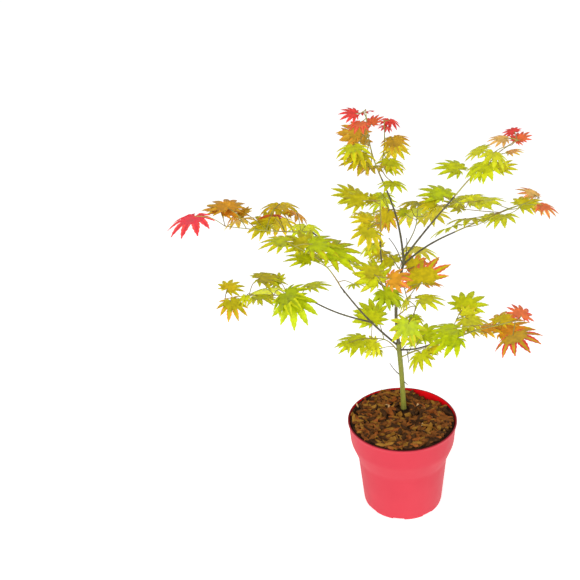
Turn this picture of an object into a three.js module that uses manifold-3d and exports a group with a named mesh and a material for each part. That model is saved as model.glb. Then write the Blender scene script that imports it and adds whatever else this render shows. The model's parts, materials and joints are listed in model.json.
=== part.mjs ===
// A young japanese maple in its round grower's pot, as a three.js scene graph.
// Units are millimetres and +Z is up. The origin is the centre of the pot's flat underside.
// The plant's widest spread runs along X, and its longest boughs reach towards -X.

import * as THREE from 'three';
import { mergeVertices } from 'three/addons/utils/BufferGeometryUtils.js';
import Module from 'manifold-3d';

const wasm = await Module();
wasm.setup();

const DEG = Math.PI / 180;
const GAP = 0.3; // clear distance between neighbouring solids

// ---------------------------------------------------------------- driving sizes

const POT = {
  height: 172,
  rimRadius: 95, // outside the lip
  collarRadius: 93.5, // just under the lip
  collarFoot: { radius: 90.5, height: 130 },
  shoulder: { radius: 78.5, height: 97 },
  footRadius: 70,
  footChamfer: 2.5,
  wall: 1.8,
  lip: { width: 2.8, height: 5 },
  floorHeight: 5, // underside of the raised floor
  floorThickness: 2,
  footRing: 7, // width of the ring that the pot stands on
  centrePad: 24, // radius of the flat pad in the middle of the underside
  notches: { count: 8, width: 19, height: 4, turn: 39 },
  drains: { count: 4, radius: 4.5, ring: 44, turn: 45 },
  segments: 28,
};

const MULCH = {
  high: 169, // surface height over most of the pot
  low: 155, // surface height at the far right, where it has sunk
  sunkHeading: 48,
  sunkSpread: 26,
  sunkFrom: 0.5, // share of the rim's radius where the sinking begins
  bump: 1.8,
  heap: 3, // extra height against the trunk
  heapRadius: 16,
  rings: 6,
  seed: 11,
};

const LIMB_SIDES = 6;
const STEM = { foot: 1.1, tip: 0.8, sides: 4, steps: 6 };
const PETIOLE = { radius: 0.8, sides: 3, steps: 2, sink: 2.5, fall: 1.2 };

// A leaf is a fan of pointed lobes: each lobe's angle from the middle one and its relative length.
const LEAF = {
  lobes: [[0, 1], [27, 0.98], [54, 0.9], [82, 0.75], [112, 0.52], [142, 0.32]],
  shoulder: 0.62, // where a lobe is widest
  shoulderAngle: 10,
  slimBelow: 0.95, // lobes shorter than this have no shoulders
  sinus: 0.45, // how near the notches between lobes come to the middle
  heel: 0.07,
  curl: 0.32,
  thickness: 2.6, // at the middle, where the blade is thickest
};

// How far a leaf may stray from its spray's own habit, in degrees or as a share.
const STRAY = { heading: 42, size: 0.22, petiole: 0.5, lift: 28, droop: 30, roll: 30, twist: 35 };

// ---------------------------------------------------------------- colours

const paint = (color, roughness) => new THREE.MeshStandardMaterial({ color, roughness, metalness: 0 });

const MATERIALS = {
  pot: paint(0xee4d5f, 0.5),
  mulch: paint(0x6b4424, 0.95),
  bark: paint(0x7d8a35, 0.7),
  twig: paint(0x4a4436, 0.7),
  green: paint(0x9cb81a, 0.55),
  olive: paint(0xa3a526, 0.55),
  orange: paint(0xd98a35, 0.55),
  red: paint(0xd8453f, 0.55),
};

// ---------------------------------------------------------------- limbs

// Each limb leaves its parent at a share of the parent's length and ends at a point. The bow is
// how far its middle stands off the straight line. Radii are at its foot and its tip.
const LIMBS = [
  { name: 'trunk', start: [3, 32, 170], end: [-5, 34, 305], bow: [1, 0, 0],
    foot: 4.4, tip: 4.3, steps: 8, flare: 0.9, flareReach: 0.08 },
  { name: 'leader', parent: 'trunk', at: 1.0, end: [5, 30, 463], bow: [-8, 0, 0],
    foot: 2.9, tip: 2.2, steps: 8 },
  { name: 'leader_top', parent: 'leader', at: 1.0, end: [-33, 45, 614], bow: [8, 0, 0],
    foot: 1.9, tip: 1.2, steps: 8 },
  { name: 'bough_left_upper', parent: 'leader', at: 0.6, end: [-144, 40, 515], bow: [0, 0, -3],
    foot: 1.8, tip: 1.2, steps: 6 },
  { name: 'leader_left', parent: 'bough_left_upper', at: 0.12, end: [-31, -45, 543], bow: [-3, 0, 0],
    foot: 1.5, tip: 1.2, steps: 5 },
  { name: 'bough_left_middle', parent: 'trunk', at: 0.95, end: [-96, -25, 447], bow: [-4, 0, -3],
    foot: 1.9, tip: 1.2, steps: 6 },
  { name: 'bough_left_lower', parent: 'bough_left_middle', at: 0.45, end: [-155, 55, 379], bow: [-4, 0, -4],
    foot: 1.5, tip: 1.2, steps: 6 },
  { name: 'bough_right_lower', parent: 'trunk', at: 0.9, end: [51, 0, 324], bow: [0, 0, -4],
    foot: 1.7, tip: 1.2, steps: 5 },
  { name: 'bough_right_second', parent: 'leader', at: 0.97, end: [89, 70, 497], bow: [-3, 0, 4],
    foot: 1.8, tip: 1.2, steps: 6 },
  { name: 'bough_right_top', parent: 'leader_top', at: 0.04, end: [83, 10, 585], bow: [0, 0, 2],
    foot: 1.7, tip: 1.2, steps: 6 },
];

// ---------------------------------------------------------------- sprays of leaves

// Each spray leaves a limb at a share of its length, with its leaves in opposite pairs from the
// first node to the tip. Leaf sizes are the middle lobe's length at the first pair and at the tip,
// petiole is a share of the leaf, face is the heading that the pairs fan about, and spread, lift
// and droop are in degrees. Each leaf grows from its own seed.
const SPRAYS = [
  {
    name: 'leaves_left_tip', on: 'bough_left_upper', at: 1, end: [-290, 55, 521], bow: [8, 0, -4],
    leaf: 37, tipLeaf: 54, first: 0.15, petiole: 0.95, face: 115, spread: 20,
    lift: 35, droop: 15, colour: 'orange',
    seeds: [3516, 12537, 5847, 28229, 29908, 1762, 25152, 884, 13629, 19293],
  },
  {
    name: 'leaves_left_middle', on: 'bough_left_middle', at: 1, end: [-165, -35, 526], bow: [7, 6, 4],
    leaf: 36, tipLeaf: 54, first: 0.4, petiole: 0.75, face: 75, spread: 90,
    lift: 40, droop: 0, colour: 'green',
    seeds: [28656, 3948, 28823, 38022, 5370, 784],
  },
  {
    name: 'leaves_left_lower', on: 'bough_left_lower', at: 1, end: [-300, 40, 391], bow: [-3, 9, 4],
    leaf: 50, tipLeaf: 42, first: 0.12, petiole: 0.7, face: -170, spread: 90,
    lift: 50, droop: 15, colour: 'olive',
    seeds: [30230, 28218, 11169, 2856, 21702, 2866, 25740, 18852],
  },
  {
    name: 'leaves_low_left', on: 'trunk', at: 0.84, end: [-50, 5, 331], bow: [2, 6, 8],
    leaf: 30, tipLeaf: 45, first: 0.6, petiole: 0.8, face: 160, spread: 80,
    lift: 40, droop: -5, colour: 'green',
    seeds: [19274, 7920, 5388, 28300],
  },
  {
    name: 'leaves_low_right', on: 'trunk', at: 0.78, end: [40, -15, 326], bow: [0, 2, 0],
    leaf: 60, tipLeaf: 16, first: 0.55, petiole: 0.7, face: 0, spread: 50,
    lift: 40, droop: -10, colour: 'green',
    seeds: [23547, 6098, 20273],
  },
  {
    name: 'leaves_front', on: 'leader', at: 0.33, end: [25, -20, 406], bow: [5, 6, 6],
    leaf: 54, tipLeaf: 33, first: 0.3, petiole: 0.95, face: 10, spread: 90,
    lift: 5, droop: 40, colour: 'green',
    seeds: [31723, 1544],
  },
  {
    name: 'leaves_right_lower', on: 'bough_right_lower', at: 1, end: [180, -40, 391], bow: [-2, 9, -4],
    leaf: 47, tipLeaf: 43, first: 0.55, petiole: 1.0, face: -45, spread: 90,
    lift: -5, droop: 5, colour: 'orange',
    seeds: [38914, 37509, 27122, 5506, 718, 21187],
  },
  {
    name: 'leaves_right_mid', on: 'bough_right_lower', at: 0.85, end: [95, 70, 331], bow: [8, -2, -5],
    leaf: 49, tipLeaf: 40, first: 0.12, petiole: 0.7, face: -10, spread: 45,
    lift: 50, droop: -10, colour: 'green',
    seeds: [29553, 28853],
  },
  {
    name: 'leaves_inner_front', on: 'leader', at: 0.45, end: [-35, -110, 511], bow: [2, 7, -7],
    leaf: 30, tipLeaf: 38, first: 0.8, petiole: 0.75, face: -135, spread: 90,
    lift: -20, droop: -10, colour: 'olive',
    seeds: [2716, 32812, 568, 33409],
  },
  {
    name: 'leaves_inner_right', on: 'leader', at: 0.88, end: [10, -40, 431], bow: [-1, 9, -3],
    leaf: 32, tipLeaf: 52, first: 0.8, petiole: 0.75, face: 15, spread: 20,
    lift: 25, droop: -5, colour: 'orange',
    seeds: [9358, 17863],
  },
  {
    name: 'leaves_inner_back', on: 'leader', at: 0.72, end: [-5, 120, 406], bow: [7, 7, 1],
    leaf: 31, tipLeaf: 46, first: 0.9, petiole: 0.85, face: 100, spread: 20,
    lift: 50, droop: 15, colour: 'olive',
    seeds: [29468, 33972, 11205],
  },
  {
    name: 'leaves_centre_back', on: 'leader_top', at: 0.12, end: [30, 195, 476], bow: [7, 7, -1],
    leaf: 51, tipLeaf: 47, first: 0.9, petiole: 0.7, face: 65, spread: 30,
    lift: -5, droop: 15, colour: 'green',
    seeds: [18428, 7769, 26678],
  },
  {
    name: 'leaves_right_second', on: 'bough_right_second', at: 1, end: [230, 125, 531], bow: [-1, -1, 2],
    leaf: 41, tipLeaf: 39, first: 0.45, petiole: 1.1, face: 100, spread: 70,
    lift: -15, droop: -10, colour: 'olive',
    seeds: [11624, 23407, 31359, 33643, 14172, 8878, 2782],
  },
  {
    name: 'leaves_right_low', on: 'bough_right_top', at: 0.78, end: [100, 30, 561], bow: [3, 5, 7],
    leaf: 34, tipLeaf: 50, first: 0.4, petiole: 0.75, face: 90, spread: 45,
    lift: -15, droop: 5, colour: 'green',
    seeds: [9745, 14665, 1583, 23998, 34070],
  },
  {
    name: 'leaves_right_top', on: 'bough_right_top', at: 1, end: [175, 10, 676], bow: [-1, 9, 4],
    leaf: 39, tipLeaf: 27, first: 0.4, petiole: 1.05, face: -40, spread: 100,
    lift: 5, droop: -10, colour: 'olive',
    seeds: [324, 24919, 36032, 31146, 5750, 6706, 35529, 32946, 5896, 34596],
  },
  {
    name: 'leaves_top_left', on: 'leader_top', at: 0.94, end: [-50, 5, 731], bow: [-5, 5, -7],
    leaf: 57, tipLeaf: 25, first: 0.6, petiole: 1.1, face: 155, spread: 80,
    lift: -20, droop: -10, colour: 'red',
    seeds: [9974, 22805, 25871, 37731, 7687, 13979, 16470, 24465, 33868],
  },
  {
    name: 'leaves_top_right', on: 'leader_top', at: 1, end: [-25, 115, 676], bow: [4, 0, -5],
    leaf: 37, tipLeaf: 30, first: 0.12, petiole: 0.85, face: 15, spread: 45,
    lift: -20, droop: 15, colour: 'olive',
    seeds: [35982, 25174, 32981, 15542, 26953, 11137, 9246],
  },
  {
    name: 'leaves_mid_left', on: 'leader_left', at: 1, end: [-30, -60, 611], bow: [1, 1, -10],
    leaf: 30, tipLeaf: 34, first: 0.12, petiole: 0.8, face: -175, spread: 35,
    lift: 0, droop: -10, colour: 'olive',
    seeds: [7119, 38801, 32957, 31297, 34763, 325],
  },
  {
    name: 'leaves_mid_right', on: 'leader_top', at: 0.6, end: [-20, 95, 531], bow: [-3, 7, -5],
    leaf: 51, tipLeaf: 30, first: 0.9, petiole: 0.8, face: -5, spread: 80,
    lift: 15, droop: 30, colour: 'green',
    seeds: [14606, 7673, 12736, 7736],
  },
];

// ---------------------------------------------------------------- small tools

const vec = (x, y, z) => new THREE.Vector3(x, y, z);

// Joins corners and triangles into a solid.
function solid(corners, triangles) {
  const vertProperties = new Float32Array(corners.flatMap((p) => [p.x, p.y, p.z]));
  const triVerts = new Uint32Array(triangles.flat());
  return new wasm.Manifold(new wasm.Mesh({ numProp: 3, vertProperties, triVerts }));
}

// Turns a solid into a named mesh of the scene.
function part(name, body, material) {
  const { vertProperties, triVerts } = body.getMesh();
  const geometry = new THREE.BufferGeometry();
  geometry.setAttribute('position', new THREE.BufferAttribute(vertProperties, 3));
  geometry.setIndex(new THREE.BufferAttribute(triVerts, 1));
  geometry.computeVertexNormals();
  const mesh = new THREE.Mesh(geometry, material);
  mesh.name = name;
  return mesh;
}

// Skins a row of equal rings, each a list of corners that runs the same way, and caps both ends.
function skin(rings) {
  const count = rings[0].length;
  const top = (rings.length - 1) * count;
  const triangles = [];
  for (let row = 0; row < top; row += count) {
    for (let i = 0; i < count; i += 1) {
      const next = (i + 1) % count;
      triangles.push([row + i, row + next, row + count + next]);
      triangles.push([row + i, row + count + next, row + count + i]);
    }
  }
  for (let i = 1; i < count - 1; i += 1) {
    triangles.push([0, i + 1, i]);
    triangles.push([top, top + i, top + i + 1]);
  }
  return solid(rings.flat(), triangles);
}

// A seeded row of numbers between -1 and 1.
class Draws {
  constructor(seed) {
    this.state = (seed * 7919) % 2147483647;
    this.next();
    this.next();
  }

  next() {
    this.state = (this.state * 48271) % 2147483647;
    return (this.state / 2147483647) * 2 - 1;
  }
}

// The unit vector with a heading (from +X towards +Y) and a climb, both in degrees.
function direction(heading, climb) {
  const level = Math.cos(climb * DEG);
  return vec(Math.cos(heading * DEG) * level, Math.sin(heading * DEG) * level, Math.sin(climb * DEG));
}

// A straight run from one point to another that bows out sideways.
function bowedPath(start, end, bow, steps) {
  const points = [];
  for (let i = 0; i <= steps; i += 1) {
    const share = i / steps;
    const point = start.clone().lerp(end, share);
    points.push(point.addScaledVector(bow, Math.sin(Math.PI * share)));
  }
  return points;
}

// The point at a share of a path's length.
function pointOn(path, share) {
  const place = share * (path.length - 1);
  const i = Math.min(Math.floor(place), path.length - 2);
  return path[i].clone().lerp(path[i + 1], place - i);
}

// Round rings along a path. Each ring faces halfway between the runs beside it.
function tubeRings(path, radiusAt, sides, levelFoot = false) {
  const rings = [];
  let across = null;
  for (let i = 0; i < path.length; i += 1) {
    const next = path[Math.min(i + 1, path.length - 1)];
    const ahead = next.clone().sub(path[Math.max(i - 1, 0)]).normalize();
    if (i === 0 && levelFoot) {
      ahead.set(0, 0, 1);
    }
    if (across === null) {
      across = Math.abs(ahead.z) > 0.9 ? vec(1, 0, 0) : vec(0, 0, 1);
    }
    across = across.clone().addScaledVector(ahead, -across.dot(ahead)).normalize();
    const side = ahead.clone().cross(across);
    const radius = radiusAt(i / (path.length - 1));
    const ring = [];
    for (let k = 0; k < sides; k += 1) {
      const turn = (k / sides) * 2 * Math.PI;
      const point = path[i].clone().addScaledVector(across, radius * Math.cos(turn));
      ring.push(point.addScaledVector(side, radius * Math.sin(turn)));
    }
    rings.push(ring);
  }
  return rings;
}

// A three.js geometry as a solid, with its seams closed.
function fromGeometry(geometry, matrix) {
  geometry.applyMatrix4(matrix);
  geometry.deleteAttribute('normal');
  geometry.deleteAttribute('uv');
  const closed = mergeVertices(geometry, 1e-4);
  const vertProperties = new Float32Array(closed.attributes.position.array);
  const triVerts = new Uint32Array(closed.index.array);
  return new wasm.Manifold(new wasm.Mesh({ numProp: 3, vertProperties, triVerts }));
}

// ---------------------------------------------------------------- pot

// The radius of the pot's inner wall at a height.
function innerRadius(height) {
  const outline = [
    [POT.footRadius, POT.footChamfer],
    [POT.shoulder.radius, POT.shoulder.height],
    [POT.collarFoot.radius, POT.collarFoot.height],
    [POT.collarRadius, POT.height - POT.lip.height],
  ];
  let i = 1;
  while (i < outline.length - 1 && height > outline[i][1]) {
    i += 1;
  }
  const [lowRadius, lowHeight] = outline[i - 1];
  const [highRadius, highHeight] = outline[i];
  const share = (height - lowHeight) / (highHeight - lowHeight);
  return lowRadius + (highRadius - lowRadius) * share - POT.wall;
}

function circle(radius, height) {
  const ring = [];
  for (let i = 0; i < POT.segments; i += 1) {
    const turn = (i / POT.segments) * 2 * Math.PI;
    ring.push(vec(radius * Math.cos(turn), radius * Math.sin(turn), height));
  }
  return ring;
}

function buildPot() {
  const { height, wall, lip, collarFoot, shoulder, footRadius, footChamfer, floorHeight } = POT;
  const footInside = footRadius - footChamfer - POT.footRing;
  const floorTop = floorHeight + POT.floorThickness;
  const lipFoot = height - lip.height;
  const profile = [
    [POT.centrePad, 0],
    [POT.centrePad + 2, floorHeight],
    [footInside - 2, floorHeight],
    [footInside, 0],
    [footRadius - footChamfer, 0],
    [footRadius, footChamfer],
    [shoulder.radius, shoulder.height],
    [collarFoot.radius, collarFoot.height],
    [POT.collarRadius, lipFoot],
    [POT.rimRadius, lipFoot + 1],
    [POT.rimRadius, height - 1],
    [POT.rimRadius - 0.8, height],
    [POT.rimRadius - lip.width + 0.6, height],
    [POT.rimRadius - lip.width, height - 1],
    [POT.collarRadius - wall, lipFoot],
    [collarFoot.radius - wall, collarFoot.height],
    [shoulder.radius - wall, shoulder.height],
    [innerRadius(floorTop), floorTop],
  ];
  let pot = skin(profile.map(([radius, level]) => circle(radius, level)));
  const { notches, drains } = POT;
  for (let i = 0; i < notches.count; i += 1) {
    const turn = new THREE.Matrix4().makeRotationZ(((i / notches.count) * 360 + notches.turn) * DEG);
    const cut = new THREE.BoxGeometry(POT.footRing * 3, notches.width, notches.height * 2);
    const place = new THREE.Matrix4().makeTranslation(footRadius - 2, 0, 0);
    pot = pot.subtract(fromGeometry(cut, turn.multiply(place)));
  }
  for (let i = 0; i < drains.count; i += 1) {
    const turn = new THREE.Matrix4().makeRotationZ(((i / drains.count) * 360 + drains.turn) * DEG);
    const cut = new THREE.CylinderGeometry(drains.radius, drains.radius, floorTop * 2, 16).rotateX(90 * DEG);
    const place = new THREE.Matrix4().makeTranslation(drains.ring, 0, floorTop);
    pot = pot.subtract(fromGeometry(cut, turn.multiply(place)));
  }
  return pot;
}

// ---------------------------------------------------------------- mulch

// The height of the mulch, which has sunk at the far right and heaps a little round the trunk.
function mulchHeight(x, y) {
  const off = (Math.atan2(y, x) / DEG - MULCH.sunkHeading) / MULCH.sunkSpread;
  const out = THREE.MathUtils.smoothstep(Math.hypot(x, y) / POT.rimRadius, MULCH.sunkFrom, 1);
  const [trunkX, trunkY] = LIMBS[0].start;
  const heap = MULCH.heap * Math.exp(-(((x - trunkX) ** 2 + (y - trunkY) ** 2) / MULCH.heapRadius ** 2));
  return MULCH.high - (MULCH.high - MULCH.low) * out * Math.exp(-(off ** 2)) + heap;
}

function buildMulch(trunk) {
  const slack = GAP + 0.1;
  const bottom = POT.floorHeight + POT.floorThickness + GAP;
  const levels = [bottom, POT.shoulder.height, POT.collarFoot.height];
  const rings = levels.map((level) => circle(innerRadius(level) - slack, level));
  const draws = new Draws(MULCH.seed);
  for (let r = 0; r < MULCH.rings; r += 1) {
    const share = 1 - r / MULCH.rings;
    rings.push(circle(1, 0).map((p) => {
      const reach = (innerRadius(MULCH.low) - slack) * share;
      const level = mulchHeight(p.x * reach, p.y * reach) + draws.next() * MULCH.bump;
      const radius = r === 0 ? innerRadius(level) - slack : reach;
      return vec(p.x * radius, p.y * radius, level);
    }));
  }
  return skin(rings).subtract(trunk);
}

// ---------------------------------------------------------------- limbs as solids

function limbPath(limb, paths) {
  const start = limb.parent ? pointOn(paths[limb.parent], limb.at) : vec(...limb.start);
  return bowedPath(start, vec(...limb.end), vec(...limb.bow), limb.steps);
}

// The solid of a limb. A grown one is larger all round, and cuts its neighbours clear of it.
function limbSolid(limb, path, grow) {
  const points = path.map((p) => p.clone());
  if (grow > 0) {
    const last = points.length - 1;
    const footRun = points[0].clone().sub(points[1]).normalize();
    const tipRun = points[last].clone().sub(points[last - 1]).normalize();
    points[0].addScaledVector(limb.parent ? footRun : vec(0, 0, -1), grow);
    points[last].addScaledVector(tipRun, grow);
  }
  const radiusAt = (share) => {
    const flare = limb.flare ? limb.flare * Math.exp(-share / limb.flareReach) : 0;
    return limb.foot + (limb.tip - limb.foot) * share + flare + grow;
  };
  return skin(tubeRings(points, radiusAt, LIMB_SIDES, !limb.parent));
}

// ---------------------------------------------------------------- leaves

// The corners of a leaf's outline in its own plane, from its heel round to its heel again.
function leafOutline() {
  const sides = [...LEAF.lobes.slice(1).map(([angle, reach]) => [-angle, reach]).reverse(), ...LEAF.lobes];
  const outline = [[180, LEAF.heel]];
  sides.forEach(([angle, reach], i) => {
    if (i > 0) {
      const [lastAngle, lastReach] = sides[i - 1];
      outline.push([(angle + lastAngle) / 2, LEAF.sinus * Math.min(reach, lastReach) ** 0.5]);
    }
    const slim = reach < LEAF.slimBelow;
    outline.push(...(slim ? [] : [[angle - LEAF.shoulderAngle, LEAF.shoulder * reach]]));
    outline.push([angle, reach]);
    outline.push(...(slim ? [] : [[angle + LEAF.shoulderAngle, LEAF.shoulder * reach]]));
  });
  return outline;
}

const OUTLINE = leafOutline();

// A blade that is thickest where its stalk joins and curls down towards the points of its lobes.
function blade(base, along, across, normal, size) {
  const place = (u, v, w) => base.clone()
    .addScaledVector(along, u).addScaledVector(across, v).addScaledVector(normal, w);
  const corners = [place(0, 0, LEAF.thickness / 2), place(0, 0, -LEAF.thickness / 2)];
  OUTLINE.forEach(([angle, reach]) => {
    const radius = reach * size;
    const drop = -LEAF.curl * reach * reach * size;
    corners.push(place(radius * Math.cos(angle * DEG), radius * Math.sin(angle * DEG), drop));
  });
  const triangles = [];
  for (let i = 0; i < OUTLINE.length; i += 1) {
    const here = 2 + i;
    const next = 2 + ((i + 1) % OUTLINE.length);
    triangles.push([0, here, next], [1, next, here]);
  }
  return solid(corners, triangles);
}

// How one leaf of a spray grows: its stalk's path and its blade's place, from its own seed.
function leafGrowth(spray, stem, index) {
  const count = spray.seeds.length;
  const nodes = Math.ceil(count / 2);
  const alone = index === count - 1 && count % 2 === 1;
  const side = alone ? 0 : (index % 2) * 2 - 1;
  const share = nodes === 1 ? 1 : spray.first + ((1 - spray.first) * Math.floor(index / 2)) / (nodes - 1);
  const draws = new Draws(spray.seeds[index]);
  const heading = spray.face + side * spray.spread + STRAY.heading * draws.next();
  const size = (spray.leaf + (spray.tipLeaf - spray.leaf) * share) * (1 + STRAY.size * draws.next());
  const length = spray.petiole * size * (1 + STRAY.petiole * draws.next());
  const lift = spray.lift + STRAY.lift * draws.next();
  const droop = spray.droop + STRAY.droop * draws.next();
  const roll = STRAY.roll * draws.next() * DEG;
  const bladeHeading = heading + STRAY.twist * draws.next();
  const stalk = [pointOn(stem, share)];
  for (let i = 0; i < PETIOLE.steps; i += 1) {
    const climb = lift * (1 - ((i + 0.5) / PETIOLE.steps) * PETIOLE.fall);
    stalk.push(stalk[i].clone().addScaledVector(direction(heading, climb), length / PETIOLE.steps));
  }
  const along = direction(bladeHeading, -droop);
  const level = direction(bladeHeading + 90, 0);
  const upright = along.clone().cross(level);
  const across = level.clone().multiplyScalar(Math.cos(roll)).addScaledVector(upright, Math.sin(roll));
  const normal = upright.multiplyScalar(Math.cos(roll)).addScaledVector(level, -Math.sin(roll));
  return { stalk, along, across, normal, size };
}

function leafSolid({ stalk, along, across, normal, size }) {
  const base = stalk[stalk.length - 1];
  const path = [...stalk, base.clone().addScaledVector(along, PETIOLE.sink)];
  const petiole = skin(tubeRings(path, () => PETIOLE.radius, PETIOLE.sides));
  return blade(base, along, across, normal, size).add(petiole);
}

// ---------------------------------------------------------------- sprays as solids

// A spray's stem with its leaves fused on. A leaf that comes too near to what already stands is
// left off, and the stem's foot is cut clear of the limb that carries it.
function buildSpray(spray, limb, path, standing) {
  const start = pointOn(path, spray.at);
  const stem = bowedPath(start, vec(...spray.end), vec(...spray.bow), STEM.steps);
  const radiusAt = (share) => STEM.foot + (STEM.tip - STEM.foot) * share;
  let body = skin(tubeRings(stem, radiusAt, STEM.sides));
  for (let i = 0; i < spray.seeds.length; i += 1) {
    const leaf = leafSolid(leafGrowth(spray, stem, i));
    const clear = standing.every((other) => other.minGap(leaf, GAP * 2) > GAP);
    if (clear) {
      body = body.add(leaf);
    } else {
      skipped.push(`${spray.name} ${i}`);
    }
  }
  return largest(body.subtract(limb));
}

// The largest piece of a solid, without loose scraps.
function largest(body) {
  return body.decompose().reduce((best, piece) => (piece.volume() > best.volume() ? piece : best));
}

// ---------------------------------------------------------------- the whole plant

const skipped = [];
const group = new THREE.Group();
const paths = {};
const limbs = {};
const grown = {};
LIMBS.forEach((limb) => {
  paths[limb.name] = limbPath(limb, paths);
  grown[limb.name] = limbSolid(limb, paths[limb.name], GAP + 0.1);
  const body = limbSolid(limb, paths[limb.name], 0);
  limbs[limb.name] = limb.parent ? largest(body.subtract(grown[limb.parent])) : body;
});

group.add(part('pot', buildPot(), MATERIALS.pot));
const mulch = buildMulch(grown.trunk);
group.add(part('mulch', mulch, MATERIALS.mulch));
LIMBS.forEach((limb) => {
  group.add(part(limb.name, limbs[limb.name], limb.name === 'trunk' ? MATERIALS.bark : MATERIALS.twig));
});

const standing = Object.values(limbs);
SPRAYS.forEach((spray) => {
  const body = buildSpray(spray, grown[spray.on], paths[spray.on], standing);
  standing.push(body);
  group.add(part(spray.name, body, MATERIALS[spray.colour]));
});
if (skipped.length > 0) {
  console.log('left off:', skipped.join(', '));
}

export default group;
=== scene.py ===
"""The looks of a young japanese maple in its grower's pot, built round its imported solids.

Units are metres and +Z is up. The origin is the centre of the pot's flat underside.
"""
import json
import math

import bpy
from mathutils import Matrix, Vector, kdtree, noise

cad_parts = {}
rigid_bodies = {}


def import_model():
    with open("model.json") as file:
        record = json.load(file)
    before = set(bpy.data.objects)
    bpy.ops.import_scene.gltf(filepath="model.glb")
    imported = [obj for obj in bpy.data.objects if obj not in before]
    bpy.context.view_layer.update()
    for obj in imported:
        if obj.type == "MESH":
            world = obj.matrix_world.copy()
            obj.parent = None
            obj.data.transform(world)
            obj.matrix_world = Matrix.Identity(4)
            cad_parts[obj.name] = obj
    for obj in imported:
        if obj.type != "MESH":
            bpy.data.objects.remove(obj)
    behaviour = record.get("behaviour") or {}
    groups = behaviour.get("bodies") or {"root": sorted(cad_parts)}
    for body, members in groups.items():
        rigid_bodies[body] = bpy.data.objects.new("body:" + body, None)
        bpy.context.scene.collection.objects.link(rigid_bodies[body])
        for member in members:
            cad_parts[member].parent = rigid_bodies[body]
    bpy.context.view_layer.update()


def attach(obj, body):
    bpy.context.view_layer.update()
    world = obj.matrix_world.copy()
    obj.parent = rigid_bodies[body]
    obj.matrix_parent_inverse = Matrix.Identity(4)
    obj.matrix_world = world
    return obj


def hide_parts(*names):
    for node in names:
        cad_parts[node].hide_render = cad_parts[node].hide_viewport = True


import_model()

# ------------------------------------------------------------------ driving sizes

# A pair is a radius and a height. The notches are a width and a height cut from the foot, and the
# turn in degrees is that of the first.
POT = dict(
    height=0.172, rim=0.095, collar=0.0935, collar_foot=(0.0905, 0.130), shoulder=(0.0785, 0.097),
    foot=0.070, chamfer=0.0025, wall=0.0018, lip_width=0.0028, lip_height=0.005,
    floor=0.005, floor_thickness=0.002, foot_ring=0.007, pad=0.024,
    notches=8, notch_width=0.019, notch_height=0.004, notch_turn=39, segments=288,
    lip_edge=0.001, lip_bevel=0.0008, lip_round=0.0006, outside_ease=0.006, inside_ease=0.004,
)
# The mulch lies high, and has sunk to low round one heading, from a share of the rim's radius on.
# Its lumps are the scale and the height of two noises, and the bed lies a little under the chips.
MULCH = dict(
    high=0.169, low=0.155, sunk_heading=54, sunk_spread=20, sunk_from=0.5,
    heap=0.003, heap_radius=0.016, edge_rise=0.004, wall_gap=0.0004,
    lumps=((160, 0.0015), (60, 0.001)), bed_depth=0.002, sides=96, rings=24,
)
# Chips crowd outwards where the power is under a half, and stay clear of the trunk.
CHIPS = dict(
    count=800, length=(0.009, 0.026), slimness=(0.26, 0.44), thickness=(0.002, 0.0048),
    crowding=0.4, bedding=(-0.002, 0.0018), trunk_gap=0.004, tilt=22, lean=32, seed=5,
)
CHIP_SIDES = ((-0.5, -0.25), (-0.15, -0.5), (0.3, -0.42), (0.5, 0.1), (0.2, 0.5), (-0.35, 0.4))
CHIP_LAYERS = ((-0.5, 0.75), (0, 1), (0.35, 0.8), (0.5, 0.4))  # the height and the spread of each
CHIP_KINDS = (  # each kind's dark and light colours and its share of the chips
    ("chips_brown", 0x623614, 0x8E5624, 0.34),
    ("chips_ochre", 0x825416, 0xA87830, 0.20),
    ("chips_rust", 0x844418, 0xA45E28, 0.14),
    ("chips_dark", 0x36200E, 0x5A381C, 0.305),
    ("chips_pale", 0xCC9868, 0xECD0A6, 0.015),
)

# A leaf is a fan of pointed lobes: each lobe's angle from the middle one and its relative length.
# The rest are shares of the leaf's length, but for the angles of the heels and of the wobble.
LEAF = dict(
    lobes=((0, 1), (27, 0.98), (54, 0.9), (82, 0.75), (112, 0.52), (142, 0.32)),
    sinus=0.53, sinus_lift=0.02, sinus_middle=0.9, heel=0.07, heel_angle=24, curl=0.32, fold=0.25,
    teeth=(-0.0056, 0.014), rib=0.42, angle_wobble=2.2, length_wobble=0.05,
)
# Half the width of a lobe, as a share of its length, at shares of its length.
LOBE_WIDTHS = (
    (0.50, 0.114), (0.57, 0.119), (0.64, 0.117), (0.71, 0.106),
    (0.78, 0.089), (0.85, 0.066), (0.92, 0.040), (0.97, 0.015),
)
TIP_FROM = (0.3, 0.85)  # the range in which a lobe's outer tint begins beside its rib

# How far a leaf may stray from its spray's own habit, in degrees or as a share.
STRAY = dict(heading=42, size=0.22, petiole=0.5, lift=28, droop=30, roll=30, twist=35)
# Small leaves on finer twigs between these: the share of the stem at which one may leave it, its
# size beside a full leaf, how clear it keeps of what has grown and how far it may pass the spray.
SMALL = dict(share=(0.05, 1), scale=(0.35, 0.85), clear=0.0035, beyond=0.006)
STALK = dict(steps=2, parts=5, fall=1.2, foot=0.0008, tip=0.0006, sides=6, under_blade=0.03)
STEM = dict(steps=6, parts=6, foot=0.0012, tip=0.0007, sides=8, relief=0.06)
TWIG = dict(steps=6, parts=3, foot=0.0010, tip=0.0006, sides=7, relief=0.08)
BUD = dict(size=0.0012, places=(-0.6, 0, 0.8, 2.0), widths=(0.5, 1.0, 0.8, 0.1), sides=6)
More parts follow.
